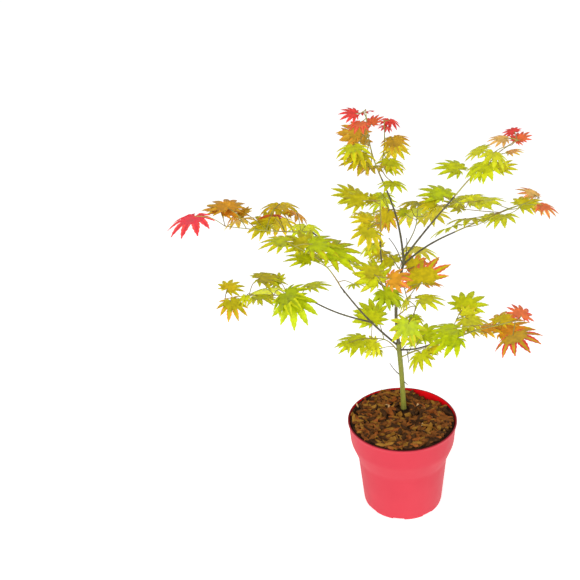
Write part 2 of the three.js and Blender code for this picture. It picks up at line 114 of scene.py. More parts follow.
# A bough swells near each node and has a collar at its foot, both by a share of its radius.
BARK = dict(
    parts=12, trunk_sides=28, bough_sides=14, trunk_relief=0.10, bough_relief=0.07,
    node_spacing=0.022, swell=0.16, swell_length=0.14, collar=0.5, collar_length=0.004,
)
RELIEF = dict(round=2, deep=0.002, along=180)  # the scales of the noise that roughens a limb's skin

# Each limb leaves its parent at a share of the parent's length and ends at a point. The bow is
# how far its middle stands off the straight line. Radii are at its foot and its tip.
LIMBS = (
    dict(name="trunk", start=(0.003, 0.032, 0.170), end=(-0.005, 0.034, 0.305),
         bow=(0.001, 0, 0), foot=0.0044, tip=0.0043, steps=8, flare=0.0009, flare_reach=0.08),
    dict(name="leader", parent="trunk", at=1.0, end=(0.005, 0.030, 0.463),
         bow=(-0.008, 0, 0), foot=0.0029, tip=0.0022, steps=8),
    dict(name="leader_top", parent="leader", at=1.0, end=(-0.033, 0.045, 0.614),
         bow=(0.008, 0, 0), foot=0.0019, tip=0.0012, steps=8),
    dict(name="bough_left_upper", parent="leader", at=0.6, end=(-0.144, 0.040, 0.515),
         bow=(0, 0, -0.003), foot=0.0018, tip=0.0012, steps=6),
    dict(name="leader_left", parent="bough_left_upper", at=0.12, end=(-0.031, -0.045, 0.543),
         bow=(-0.003, 0, 0), foot=0.0015, tip=0.0012, steps=5),
    dict(name="bough_left_middle", parent="trunk", at=0.95, end=(-0.096, -0.025, 0.447),
         bow=(-0.004, 0, -0.003), foot=0.0019, tip=0.0012, steps=6),
    dict(name="bough_left_lower", parent="bough_left_middle", at=0.45, end=(-0.155, 0.055, 0.379),
         bow=(-0.004, 0, -0.004), foot=0.0015, tip=0.0012, steps=6),
    dict(name="bough_right_lower", parent="trunk", at=0.9, end=(0.051, 0.000, 0.324),
         bow=(0, 0, -0.004), foot=0.0017, tip=0.0012, steps=5),
    dict(name="bough_right_second", parent="leader", at=0.97, end=(0.089, 0.070, 0.497),
         bow=(-0.003, 0, 0.004), foot=0.0018, tip=0.0012, steps=6),
    dict(name="bough_right_top", parent="leader_top", at=0.04, end=(0.083, 0.010, 0.585),
         bow=(0, 0, 0.002), foot=0.0017, tip=0.0012, steps=6),
)

# Each spray leaves a limb at a share of its length, with its leaves in opposite pairs from the
# first node to the tip. Each leaf grows from its own seed and has a tint for its middle and,
# after a slash, another for the points of its lobes. The small leaves have a count and a seed.
SPRAYS = (
    dict(name="leaves_left_tip", on="bough_left_upper", at=1,
         end=(-0.290, 0.055, 0.521), bow=(0.008, 0.000, -0.004), leaf=0.037, tip_leaf=0.054,
         first=0.15, petiole=0.95, face=115, spread=20, lift=35, droop=15,
         seeds=(3516, 12537, 5847, 28229, 29908, 1762, 25152, 884, 13629, 19293), small=(8, 58639),
         tints="lime/fresh amber/bronze gold/bronze salmon/red gold/olive "
               "olive/gold amber/bronze bronze/gold amber/gold crimson/red"),
    dict(name="leaves_left_middle", on="bough_left_middle", at=1,
         end=(-0.165, -0.035, 0.526), bow=(0.007, 0.006, 0.004), leaf=0.036, tip_leaf=0.054,
         first=0.4, petiole=0.75, face=75, spread=90, lift=40, droop=0,
         seeds=(28656, 3948, 28823, 38022, 5370, 784), small=(5, 36125),
         tints="lime lime fresh/olive olive/lime fresh/olive lime/gold"),
    dict(name="leaves_left_lower", on="bough_left_lower", at=1,
         end=(-0.300, 0.040, 0.391), bow=(-0.003, 0.009, 0.004), leaf=0.050, tip_leaf=0.042,
         first=0.12, petiole=0.7, face=-170, spread=90, lift=50, droop=15,
         seeds=(30230, 28218, 11169, 2856, 21702, 2866, 25740, 18852), small=(6, 24727),
         tints="lime fresh lime/olive moss/lime olive/lime lime/olive gold/yellow olive/amber"),
    dict(name="leaves_low_left", on="trunk", at=0.84,
         end=(-0.050, 0.005, 0.331), bow=(0.002, 0.006, 0.008), leaf=0.030, tip_leaf=0.045,
         first=0.6, petiole=0.8, face=160, spread=80, lift=40, droop=-5,
         seeds=(19274, 7920, 5388, 28300), small=(3, 6353),
         tints="lime/fresh yellow lime/fresh lime"),
    dict(name="leaves_low_right", on="trunk", at=0.78,
         end=(0.040, -0.015, 0.326), bow=(0.000, 0.002, 0.000), leaf=0.060, tip_leaf=0.016,
         first=0.55, petiole=0.7, face=0, spread=50, lift=40, droop=-10,
         seeds=(23547, 6098, 20273), small=(2, 15979),
         tints="lime/olive fresh gold"),
    dict(name="leaves_front", on="leader", at=0.33,
         end=(0.025, -0.020, 0.406), bow=(0.005, 0.006, 0.006), leaf=0.054, tip_leaf=0.033,
         first=0.3, petiole=0.95, face=10, spread=90, lift=5, droop=40,
         seeds=(31723, 1544), small=(1, 36582),
         tints="moss/olive yellow/gold"),
    dict(name="leaves_right_lower", on="bough_right_lower", at=1,
         end=(0.180, -0.040, 0.391), bow=(-0.002, 0.009, -0.004), leaf=0.047, tip_leaf=0.043,
         first=0.55, petiole=1.0, face=-45, spread=90, lift=-5, droop=5,
         seeds=(38914, 37509, 27122, 5506, 718, 21187), small=(1, 39480),
         tints="fresh/lime amber/gold fresh gold/amber bronze/red salmon/red"),
    dict(name="leaves_right_mid", on="bough_right_lower", at=0.85,
         end=(0.095, 0.070, 0.331), bow=(0.008, -0.002, -0.005), leaf=0.049, tip_leaf=0.040,
         first=0.12, petiole=0.7, face=-10, spread=45, lift=50, droop=-10,
         seeds=(29553, 28853), small=(5, 6960),
         tints="yellow/gold lime/fresh"),
    dict(name="leaves_inner_front", on="leader", at=0.45,
         end=(-0.035, -0.110, 0.511), bow=(0.002, 0.007, -0.007), leaf=0.030, tip_leaf=0.038,
         first=0.8, petiole=0.75, face=-135, spread=90, lift=-20, droop=-10,
         seeds=(2716, 32812, 568, 33409), small=(1, 58481),
         tints="lime/olive moss olive/lime amber/salmon"),
    dict(name="leaves_inner_right", on="leader", at=0.88,
         end=(0.010, -0.040, 0.431), bow=(-0.001, 0.009, -0.003), leaf=0.032, tip_leaf=0.052,
         first=0.8, petiole=0.75, face=15, spread=20, lift=25, droop=-5,
         seeds=(9358, 17863), small=(5, 53892),
         tints="yellow/lime gold/salmon"),
    dict(name="leaves_inner_back", on="leader", at=0.72,
         end=(-0.005, 0.120, 0.406), bow=(0.007, 0.007, 0.001), leaf=0.031, tip_leaf=0.046,
         first=0.9, petiole=0.85, face=100, spread=20, lift=50, droop=15,
         seeds=(29468, 33972, 11205), small=(8, 49927),
         tints="olive/lime yellow/gold gold/yellow"),
    dict(name="leaves_centre_back", on="leader_top", at=0.12,
         end=(0.030, 0.195, 0.476), bow=(0.007, 0.007, -0.001), leaf=0.051, tip_leaf=0.047,
         first=0.9, petiole=0.7, face=65, spread=30, lift=-5, droop=15,
         seeds=(18428, 7769, 26678), small=(1, 52235),
         tints="olive lime/gold olive/gold"),
    dict(name="leaves_right_second", on="bough_right_second", at=1,
         end=(0.230, 0.125, 0.531), bow=(-0.001, -0.001, 0.002), leaf=0.041, tip_leaf=0.039,
         first=0.45, petiole=1.1, face=100, spread=70, lift=-15, droop=-10,
         seeds=(11624, 23407, 31359, 33643, 14172, 8878, 2782), small=(6, 33083),
         tints="yellow lime yellow/gold olive/lime salmon/peach yellow/lime peach/salmon"),
    dict(name="leaves_right_low", on="bough_right_top", at=0.78,
         end=(0.100, 0.030, 0.561), bow=(0.003, 0.005, 0.007), leaf=0.034, tip_leaf=0.050,
         first=0.4, petiole=0.75, face=90, spread=45, lift=-15, droop=5,
         seeds=(9745, 14665, 1583, 23998, 34070), small=(1, 50728),
         tints="yellow/lime olive/gold yellow/lime fresh/lime yellow/lime"),
    dict(name="leaves_right_top", on="bough_right_top", at=1,
         end=(0.175, 0.010, 0.676), bow=(-0.001, 0.009, 0.004), leaf=0.039, tip_leaf=0.027,
         first=0.4, petiole=1.05, face=-40, spread=100, lift=5, droop=-10,
         seeds=(324, 24919, 36032, 31146, 5750, 6706, 35529, 32946, 5896, 34596), small=(1, 22680),
         tints="lime/fresh yellow/lime lime yellow/lime lime/fresh "
               "peach/yellow yellow/lime salmon/red peach/amber red"),
    dict(name="leaves_top_left", on="leader_top", at=0.94,
         end=(-0.050, 0.005, 0.731), bow=(-0.005, 0.005, -0.007), leaf=0.057, tip_leaf=0.025,
         first=0.6, petiole=1.1, face=155, spread=80, lift=-20, droop=-10,
         seeds=(9974, 22805, 25871, 37731, 7687, 13979, 16470, 24465, 33868), small=(1, 5153),
         tints="bronze/rust olive/bronze bronze/amber olive/gold "
               "salmon/red lime/gold crimson salmon/red red"),
    dict(name="leaves_top_right", on="leader_top", at=1,
         end=(-0.025, 0.115, 0.676), bow=(0.004, 0.000, -0.005), leaf=0.037, tip_leaf=0.030,
         first=0.12, petiole=0.85, face=15, spread=45, lift=-20, droop=15,
         seeds=(35982, 25174, 32981, 15542, 26953, 11137, 9246), small=(1, 18160),
         tints="lime lime/gold lime/gold gold/lime bronze/gold bronze/rust red/crimson"),
    dict(name="leaves_mid_left", on="leader_left", at=1,
         end=(-0.030, -0.060, 0.611), bow=(0.001, 0.001, -0.010), leaf=0.030, tip_leaf=0.034,
         first=0.12, petiole=0.8, face=-175, spread=35, lift=0, droop=-10,
         seeds=(7119, 38801, 32957, 31297, 34763, 325), small=(4, 29652),
         tints="olive/gold lime gold/yellow olive/gold olive/lime olive/lime"),
    dict(name="leaves_mid_right", on="leader_top", at=0.6,
         end=(-0.020, 0.095, 0.531), bow=(-0.003, 0.007, -0.005), leaf=0.051, tip_leaf=0.030,
         first=0.9, petiole=0.8, face=-5, spread=80, lift=15, droop=30,
         seeds=(14606, 7673, 12736, 7736), small=(1, 22101),
         tints="gold/lime lime/fresh gold/amber lime/fresh"),
)

# Fine twigs beside the sprays: the limb that each leaves and at which share of its length, its
# heading and climb at its foot, how far it bends up on its way, and its length.
TWIGS = (
    dict(on="trunk", at=0.50, heading=178, climb=40, bend=25, length=0.034),
    dict(on="trunk", at=0.44, heading=-25, climb=-28, bend=-10, length=0.013),
    dict(on="bough_right_lower", at=0.24, heading=-70, climb=-60, bend=-25, length=0.024),
    dict(on="bough_right_lower", at=0.10, heading=-20, climb=65, bend=-20, length=0.012),
    dict(on="leader", at=0.94, heading=160, climb=82, bend=-35, length=0.056),
    dict(on="leader", at=0.97, heading=20, climb=70, bend=25, length=0.048),
    dict(on="bough_left_middle", at=0.96, heading=-60, climb=-50, bend=0, length=0.006),
)

# Each tint's material slot and its colour.
TINTS = dict(
    moss=("leaf_green", 0x9BAA05),
    fresh=("leaf_green", 0xB2C003),
    lime=("leaf_green", 0xBDC20A),
    yellow=("leaf_olive", 0xCCCB1E),
    gold=("leaf_olive", 0xC9B40F),
    olive=("leaf_olive", 0xB2A80D),
    bronze=("leaf_olive", 0xBE9420),
    rust=("leaf_orange", 0xB86F14),
    amber=("leaf_orange", 0xD09020),
    peach=("leaf_orange", 0xDFAE5A),
    salmon=("leaf_orange", 0xDB6D3C),
    red=("leaf_red", 0xD63F38),
    crimson=("leaf_red", 0xC02233),
)

# The camera's heading, downward tilt and roll are in degrees, its lens and sensor in millimetres.
CAMERA = dict(place=(0, -1.415, 1.197), heading=7.32, down=28.30, roll=-3.98, lens=61, sensor=36)
LAMPS = (
    dict(name="key", place=(-0.7, -2.2, 1.6), size=1.5, power=37),
    dict(name="fill", place=(1.6, -0.9, 1.6), size=1.4, power=9),
)
LAMPS_AIM = (0, 0, 0.4)
# The studio's light is white up to a height on its dome and dimmer above it.
STUDIO = dict(floor=40, floor_glow=0.55, dimmed=0.62, dim_from=0.25, dim_to=0.6)

# ------------------------------------------------------------------ shader tools


def rgb(code):
    """A colour from its hexadecimal code, in linear light."""
    parts = [(code >> shift & 255) / 255 for shift in (16, 8, 0)]
    return [c / 12.92 if c < 0.04045 else ((c + 0.055) / 1.055) ** 2.4 for c in parts] + [1]


class Socket:
    """An output of a shader node, with arithmetic that adds Math nodes."""

    def __init__(self, shader, link):
        self.shader = shader
        self.link = link

    def _math(self, operation, first, second):
        return self.shader.node("ShaderNodeMath", dict(operation=operation), {0: first, 1: second})

    def __add__(self, other):
        return self._math("ADD", self, other)

    def __radd__(self, other):
        return self._math("ADD", other, self)

    def __sub__(self, other):
        return self._math("SUBTRACT", self, other)

    def __rsub__(self, other):
        return self._math("SUBTRACT", other, self)

    def __mul__(self, other):
        return self._math("MULTIPLY", self, other)

    def __rmul__(self, other):
        return self._math("MULTIPLY", other, self)

    def step(self, low, high):
        """0 below low, 1 above high and smooth between them."""
        return self.shader.node(
            "ShaderNodeMapRange", dict(interpolation_type="SMOOTHSTEP"),
            {"Value": self, "From Min": low, "From Max": high})


class Shader:
    """The nodes of a material or of the studio, and the shader at their end."""

    def __init__(self, owner, surface):
        owner.use_nodes = True
        self.owner = owner
        self.tree = owner.node_tree
        self.surface = self.tree.nodes[surface]

    def node(self, kind, settings=None, inputs=None, output=0):
        """Add a node, with its settings and then the values or links of its sockets."""
        made = self.tree.nodes.new(kind)
        for key, value in (settings or {}).items():
            setattr(made, key, value)
        for key, value in (inputs or {}).items():
            self.feed(made.inputs[key], value)
        return Socket(self, made.outputs[output])

    def feed(self, socket, value):
        if isinstance(value, Socket):
            self.tree.links.new(value.link, socket)
        else:
            socket.default_value = value

    def position(self):
        return self.node("ShaderNodeNewGeometry")

    def axis(self, index):
        """The position along X, Y or Z, in metres."""
        return self.node("ShaderNodeSeparateXYZ", None, {0: self.position()}, index)

    def stretch(self, scales):
        """The position, scaled along each axis."""
        return self.node("ShaderNodeVectorMath", dict(operation="MULTIPLY"), {0: self.position(), 1: scales})

    def grain(self, scale, detail=3.0, where=None):
        """Noise from 0 to 1."""
        inputs = {"Vector": where or self.position(), "Scale": scale, "Detail": detail}
        return self.node("ShaderNodeTexNoise", None, inputs)

    def mix(self, factor, first, second):
        """A colour between two colours."""
        return self.node(
            "ShaderNodeMix", dict(data_type="RGBA"), {0: factor, 6: first, 7: second}, 2)

    def end(self, socket, value):
        """Set a socket of the shader at the end."""
        self.feed(self.surface.inputs[socket], value)

    def bump(self, height, distance):
        """Relief of a height from 0 to 1, over a distance in metres."""
        self.end("Normal", self.node("ShaderNodeBump", None, {"Distance": distance, "Height": height}))


# ------------------------------------------------------------------ materials


def skin_shader(name, roughness, specular):
    """A new material with one roughness and one strength of its sheen."""
    shader = Shader(bpy.data.materials.new(name), "Principled BSDF")
    shader.end("Roughness", roughness)
    shader.end("Specular IOR Level", specular)
    return shader


def shade(code, factor):
    """A colour made darker or lighter."""
    return [c * factor for c in rgb(code)[:3]] + [1]


def pot_material(name, first, second):
    shader = skin_shader(name, 0.5, 0.18)
    cloud = shader.grain(9.0, 2.0).step(0.3, 0.7)
    plastic = shader.mix(cloud, rgb(first), rgb(second))
    # Painted shade: the top of the lip is darkened towards deep crimson, standing in for the shaded line
    # along the rim.
    lip = shader.axis(2).step(POT["height"] - 0.0012, POT["height"] - 0.0002)
    shader.end("Base Color", shader.mix(lip * 0.75, plastic, rgb(0x6E0E1C)))
    shader.end("Roughness", 0.46 + 0.12 * shader.grain(60.0))
    shader.bump(shader.grain(900.0, 2.0), 0.00006)
    return shader.owner


def mulch_material(name, dark, light):
    shader = skin_shader(name, 0.9, 0.15)
    patch = shader.grain(70.0, 2.0).step(0.35, 0.65)
    fibre = shader.grain(700.0, 4.0, shader.stretch((1.0, 1.0, 2.5)))
    shader.end("Base Color", shader.mix(patch * 0.75 + fibre * 0.4 - 0.1, rgb(dark), rgb(light)))
    shader.end("Roughness", 0.8 + 0.15 * fibre)
    shader.bump(fibre, 0.0006)
    return shader.owner


def trunk_material():
    shader = skin_shader("green trunk bark", 0.55, 0.35)
    blotch = shader.grain(70.0, 4.0, shader.stretch((1.0, 1.0, 0.35))).step(0.35, 0.7)
    fleck = shader.grain(420.0, 3.0, shader.stretch((1.0, 1.0, 0.3))).step(0.58, 0.72)
    green = shader.mix(blotch, rgb(0x8C8E34), rgb(0x747A2B))
    brown = shader.mix(fleck * 0.6, green, rgb(0x6E5A2C))
    foot = 1 - shader.axis(2).step(0.158, 0.185)
    shader.end("Base Color", shader.mix(foot * 0.45, brown, rgb(0x7A6B34)))
    shader.bump(shader.grain(500.0, 4.0, shader.stretch((1.0, 1.0, 0.25))), 0.0004)
    return shader.owner


def bough_material():
    shader = skin_shader("dark bough bark", 0.5, 0.35)
    blotch = shader.grain(60.0, 4.0).step(0.35, 0.65)
    streak = shader.grain(400.0, 3.0, shader.stretch((1.0, 1.0, 0.4))).step(0.4, 0.7)
    bark = shader.mix(blotch, rgb(0x4C4636), rgb(0x5E5A38))
    shader.end("Base Color", shader.mix(streak * 0.5, bark, rgb(0x332D25)))
    shader.bump(shader.grain(700.0, 4.0, shader.stretch((1.0, 1.0, 0.4))), 0.0002)
    return shader.owner


def stalk_material():
    shader = skin_shader("leaf stalk skin", 0.45, 0.4)
    patch = shader.grain(45.0, 2.0).step(0.35, 0.65)
    shader.end("Base Color", shader.mix(patch, rgb(0x8E7A3C), rgb(0x9A9A40)))
    shader.bump(shader.grain(900.0, 2.0), 0.0001)
    return shader.owner


def leaf_material(name, code):
    shader = skin_shader(f"{name} leaf", 0.6, 0.25)
    mottle = shader.grain(110.0, 3.0).step(0.35, 0.65)
    shader.end("Base Color", shader.mix(mottle, shade(code, 0.98), shade(code, 1.29)))
    shader.end("Roughness", 0.5 + 0.15 * mottle)
    shader.bump(shader.grain(900.0, 3.0), 0.00012)
    return shader.owner


# ------------------------------------------------------------------ meshes


class Pieces:
    """Corners and faces that are gathered into one named mesh."""

    def __init__(self):
        self.corners = []
        self.faces = []

    def add(self, corners, faces):
        first = len(self.corners)
        self.corners.extend(corners)
        self.faces.extend([first + i for i in face] for face in faces)

    def make(self, name, material, slot, nodes, smooth=True):
        """One mesh object that rides on the plant's body and stands for some of its nodes."""
        mesh = bpy.data.meshes.new(name)
        mesh.from_pydata(self.corners, [], self.faces)
        mesh.materials.append(material)
        mesh.update()
        made = bpy.data.objects.new(name, mesh)
        bpy.context.scene.collection.objects.link(made)
        if smooth:
            mesh.polygons.foreach_set("use_smooth", [True] * len(mesh.polygons))
        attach(made, "root")
        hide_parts(*nodes)
        return made


def skin(rings, foot=True, tip=True):
    """Faces over a row of equal rings, with a cap on each end unless it's left open."""
    count = len(rings[0])
    faces = []
    for row in range(len(rings) - 1):
        for i in range(count):
            a, b = row * count + i, row * count + (i + 1) % count
            faces.append((a, b, b + count, a + count))
    if foot:
        faces.append(tuple(reversed(range(count))))
    if tip:
        top = (len(rings) - 1) * count
        faces.append(tuple(range(top, top + count)))
    return [corner for ring in rings for corner in ring], faces


class Draws:
    """A seeded row of numbers between -1 and 1."""

    modulus, factor, seed_factor = 2147483647, 48271, 7919

    def __init__(self, seed):
        self.state = seed * self.seed_factor % self.modulus
        self.next()
        self.next()

    def next(self):
        self.state = self.state * self.factor % self.modulus
        return self.state / self.modulus * 2 - 1

    def between(self, low, high):
        return low + (high - low) * (self.next() + 1) / 2


def direction(heading, climb):
    """The unit vector with a heading (from +X towards +Y) and a climb, both in degrees."""
    level = math.cos(math.radians(climb))
    turn = math.radians(heading)
    return Vector((math.cos(turn) * level, math.sin(turn) * level, math.sin(math.radians(climb))))


def bowed_path(start, end, bow, steps):
    """A straight run from one point to another that bows out sideways."""
    start, end, bow = Vector(start), Vector(end), Vector(bow)
    shares = [i / steps for i in range(steps + 1)]
    return [start.lerp(end, share) + bow * math.sin(math.pi * share) for share in shares]


def point_on(path, share):
    """The point at a share of a path's steps."""
    place = share * (len(path) - 1)
    i = min(int(place), len(path) - 2)
    return path[i].lerp(path[i + 1], place - i)


def points_along(path, count):
    """Points spread evenly over a path's steps, from end to end."""
    return [point_on(path, i / (count - 1)) for i in range(count)]


def smooth_path(path, parts):
    """A rounder path through the same points."""
    points = []
    for i in range(len(path) - 1):
        before, here, after = path[max(i - 1, 0)], path[i], path[i + 1]
        beyond = path[min(i + 2, len(path) - 1)]
        for k in range(parts):
            t = k / parts
            points.append(0.5 * (
                2 * here + (after - before) * t + (2 * before - 5 * here + 4 * after - beyond) * t * t
                + (3 * here - before - 3 * after + beyond) * t ** 3))
    return points + [path[-1]]


def tube(path, radius_at, sides, level_foot=False, relief=0.0):
    """A round limb along a path. Relief roughens its skin by a share of its radius."""
    rings = []
    across = None
    for i, point in enumerate(path):
        ahead = (path[min(i + 1, len(path) - 1)] - path[max(i - 1, 0)]).normalized()
        if i == 0 and level_foot:
            ahead = Vector((0, 0, 1))
        if across is None:
            across = Vector((1, 0, 0)) if abs(ahead.z) > 0.9 else Vector((0, 0, 1))
        across = (across - ahead * across.dot(ahead)).normalized()
        side = ahead.cross(across)
        radius = radius_at(i / (len(path) - 1))
        ring = []
        for k in range(sides):
            turn = k / sides * 2 * math.pi
            out = across * math.cos(turn) + side * math.sin(turn)
            height = (point.z + out.z * RELIEF["deep"]) * RELIEF["along"]
            rough = noise.noise(Vector((out.x * RELIEF["round"], out.y * RELIEF["round"], height)))
            ring.append(point + out * radius * (1 + relief * rough))
        rings.append(ring)
    return skin(rings)


# ------------------------------------------------------------------ pot and mulch


def inner_radius(height):
    """The radius of the pot's inner wall at a height."""
    outline = (
        (POT["foot"], POT["chamfer"]), POT["shoulder"], POT["collar_foot"],
        (POT["collar"], POT["height"] - POT["lip_height"]))
    for (low_radius, low), (high_radius, high) in zip(outline, outline[1:]):
        if height <= high or high == outline[-1][1]:
            share = (height - low) / (high - low)
            return low_radius + (high_radius - low_radius) * share - POT["wall"]


def rounded(profile, radius):
    """A profile whose corners are eased by a curve that begins at most a radius away from each."""
    eased = [profile[0]]
    for before, here, after in zip(profile, profile[1:], profile[2:]):
        here, before, after = Vector(here), Vector(before), Vector(after)
        first = here + (before - here).normalized() * min(radius, (before - here).length * 0.45)
        last = here + (after - here).normalized() * min(radius, (after - here).length * 0.45)
        for share in (0, 0.2, 0.4, 0.6, 0.8, 1):
            eased.append(tuple(first.lerp(here, share).lerp(here.lerp(last, share), share)))
    return eased + [profile[-1]]


def pot_ring(radius, level):
    """A level ring of the pot, lifted over the notches of its foot."""
    spacing = 360 / POT["notches"]
    ring_inside = POT["foot"] - POT["chamfer"] - POT["foot_ring"] - 0.001
    half_notch = POT["notch_width"] / 2
    ring = []
    for i in range(POT["segments"]):
        turn = i / POT["segments"] * 360
        off = (turn - POT["notch_turn"] + spacing / 2) % spacing - spacing / 2
        notched = abs(math.radians(off)) * POT["foot"] < half_notch and radius > ring_inside
        ring.append(polar(radius, turn / 360, max(level, POT["notch_height"]) if notched else level))
    return ring


def build_pot():
    """The pot's outside, from under its floor to its lip, and its inside, down to its floor."""
    wall, height, rim = POT["wall"], POT["height"], POT["rim"]
    lip = height - POT["lip_height"]
    bevel, lip_top = POT["lip_edge"], rim - POT["lip_width"] + POT["lip_round"]
    floor_top = POT["floor"] + POT["floor_thickness"]
    foot_inside = POT["foot"] - POT["chamfer"] - POT["foot_ring"]
    collar_foot, shoulder = POT["collar_foot"], POT["shoulder"]
    outside = rounded([
        (POT["pad"], 0), (POT["pad"] + 0.002, POT["floor"]), (foot_inside - 0.002, POT["floor"]),
        (foot_inside, 0), (POT["foot"] - POT["chamfer"], 0), (POT["foot"], POT["chamfer"]),
        shoulder, collar_foot, (POT["collar"], lip),
        (rim, lip + bevel), (rim, height - bevel), (rim - POT["lip_bevel"], height), (lip_top, height),
    ], POT["outside_ease"])
    inside = rounded([
        (lip_top, height), (rim - POT["lip_width"], height - bevel),
        (POT["collar"] - wall, lip), (collar_foot[0] - wall, collar_foot[1]),
        (shoulder[0] - wall, shoulder[1]), (inner_radius(floor_top), floor_top),
    ], POT["inside_ease"])
    outer, inner = Pieces(), Pieces()
    outer.add(*skin([pot_ring(*place) for place in outside], tip=False))
    inner.add(*skin([pot_ring(*place) for place in inside], foot=False))
    # The inside's deeper, brighter red is painted light: it stands in for light shining through the thin
    # plastic and bouncing within the pot.
    for pieces, name, first, second in (
        (outer, "pot_outside", 0xC43443, 0xCA3A48), (inner, "pot_inside", 0xF20614, 0xE60412),
    ):
        plastic = pot_material(name.replace("_", " "), first, second)
        made = pieces.make(name, plastic, "pot_plastic", ["pot"])
        made.data.set_sharp_from_angle(angle=math.radians(40))


def mulch_height(x, y):
    """The mulch has sunk at the far right, and heaps a little round the trunk and at the wall."""
    off = (math.degrees(math.atan2(y, x)) - MULCH["sunk_heading"]) / MULCH["sunk_spread"]
    share = (math.hypot(x, y) / POT["rim"] - MULCH["sunk_from"]) / (1 - MULCH["sunk_from"])
    share = min(max(share, 0), 1)
    edge = share * share * (3 - 2 * share)
    sunk = edge * math.exp(-off * off)
    trunk = LIMBS[0]["start"]
    away = ((x - trunk[0]) ** 2 + (y - trunk[1]) ** 2) / MULCH["heap_radius"] ** 2
    level = MULCH["high"] + MULCH["edge_rise"] * (edge - sunk) + MULCH["heap"] * math.exp(-away)
    return level - (MULCH["high"] - MULCH["low"]) * sunk


def build_mulch():
    """The bed that fills the pot under the chips, standing for the mulch below them, near black as painted
    shade in the gaps between them.
    """
    count, gap, rings = MULCH["sides"], MULCH["wall_gap"], []
    for level in (POT["floor"] + POT["floor_thickness"], POT["shoulder"][1], POT["collar_foot"][1]):
        reach = inner_radius(level) - gap
        rings.append([polar(reach, i / count, level) for i in range(count)])
    for step in range(MULCH["rings"]):
        reach = (inner_radius(MULCH["low"]) - gap) * (1 - step / MULCH["rings"])
        ring = []
        for i in range(count):
            place = polar(reach, i / count, 0)
            lump = sum(noise.noise(place * scale) * height for scale, height in MULCH["lumps"])
            level = mulch_height(place.x, place.y) - MULCH["bed_depth"] + lump
            ring.append(Vector((place.x, place.y, level)))
        rings.append(ring)
    bed = Pieces()
    bed.add(*skin(rings))
    # The bed's near-black colours are painted shade, seen in the gaps between the chips.
    bed.make("mulch_bed", mulch_material("mulch bed painted shade", 0x1C0E06, 0x3A2210), "bark_mulch", ["mulch"])


def polar(radius, share, level):
    """The point at a radius, at a share of a whole turn and at a level."""
    turn = share * 2 * math.pi
    return Vector((radius * math.cos(turn), radius * math.sin(turn), level))


def chip(draws, place, heading, length, width, thickness):
    """A torn flake of bark: six ragged sides, a rounded back, and lying almost flat."""
    along = direction(heading, draws.between(-CHIPS["tilt"], CHIPS["tilt"]))
    across = direction(heading + 90, draws.between(-CHIPS["lean"], CHIPS["lean"]))
    across = (across - along * across.dot(along)).normalized()
    up = along.cross(across)
    outline = [(u + draws.between(-0.1, 0.1), v + draws.between(-0.12, 0.12)) for u, v in CHIP_SIDES]
    rings = []
    for level, spread in CHIP_LAYERS:
        ring = []
        for u, v in outline:
            lift = level * thickness * draws.between(0.8, 1.15)
            edge = place + along * u * length * (1 + spread) / 2 + across * v * width * spread
            ring.append(edge + up * lift)
        rings.append(ring)
    return skin(rings)


def build_chips():
    """Loose bark chips over the bed, gathered by kind."""
    heaps = [Pieces() for _ in CHIP_KINDS]
    draws = Draws(CHIPS["seed"])
    trunk = Vector(LIMBS[0]["start"])
    wall = inner_radius(MULCH["high"])
    for _ in range(CHIPS["count"]):
        length = draws.between(*CHIPS["length"])
        width = length * draws.between(*CHIPS["slimness"])
        heading, bearing = draws.between(0, 360), draws.between(0, 360)
        turn = math.radians(heading - bearing)
        inset = (length * abs(math.cos(turn)) + width * abs(math.sin(turn))) / 2
        reach = (wall - inset) * draws.between(0, 1) ** CHIPS["crowding"]
        place = polar(reach, bearing / 360, 0)
        place.z = mulch_height(place.x, place.y) + draws.between(*CHIPS["bedding"])
        flake = chip(draws, place, heading, length, width, draws.between(*CHIPS["thickness"]))
        choice = draws.between(0, 1)
        if math.hypot(place.x - trunk.x, place.y - trunk.y) < CHIPS["trunk_gap"] + length * 0.5:
            continue
        for heap, (_, _, _, share) in zip(heaps, CHIP_KINDS):
            choice -= share
            if choice <= 0:
                heap.add(*flake)
                break
    for heap, (name, dark, light, _) in zip(heaps, CHIP_KINDS):
        material = mulch_material(name.replace("_", " "), dark, light)
        heap.make(name, material, "bark_mulch", ["mulch"], smooth=False)


# ------------------------------------------------------------------ limbs


def limb_paths():
    """Each limb's path by its name, from its place on its parent."""
    paths = {}
    for limb in LIMBS:
        start = point_on(paths[limb["parent"]], limb["at"]) if "parent" in limb else limb["start"]
        paths[limb["name"]] = bowed_path(start, limb["end"], limb["bow"], limb["steps"])
    return paths


def tapered(foot, tip):
    """The radius at a share of a limb's length."""
    return lambda share: foot + (tip - foot) * share


def limb_mesh(limb, path):
    """The trunk with its root flare, or a bough with its nodes and the collar at its foot."""
    length = sum((b - a).length for a, b in zip(path, path[1:]))
    kind = "trunk" if "flare" in limb else "bough"
    nodes = max(round(length / BARK["node_spacing"]), 1)
    taper = tapered(limb["foot"], limb["tip"])

    def radius_at(share):
        radius = taper(share)
        if kind == "trunk":
            return radius + limb["flare"] * math.exp(-share / limb["flare_reach"])
        beside = abs((share * nodes) % 1 - 0.5) * 2
        swell = BARK["swell"] * max(beside - 1 + BARK["swell_length"], 0) / BARK["swell_length"]
        collar = BARK["collar"] * math.exp(-share * length / BARK["collar_length"])
        return radius * (1 + swell + collar)

    sides, relief = BARK[kind + "_sides"], BARK[kind + "_relief"]
    return tube(smooth_path(path, BARK["parts"]), radius_at, sides, kind == "trunk", relief)


def twig_mesh(twig, path):
    """A thin twig that tapers and bends on its way."""
    steps = TWIG["steps"]
    run = [point_on(path, twig["at"])]
    for i in range(steps):
        climb = twig["climb"] + twig["bend"] * (i + 0.5) / steps
        run.append(run[-1] + direction(twig["heading"], climb) * twig["length"] / steps)
    taper = tapered(TWIG["foot"], TWIG["tip"])
    return tube(smooth_path(run, TWIG["parts"]), taper, TWIG["sides"], relief=TWIG["relief"])


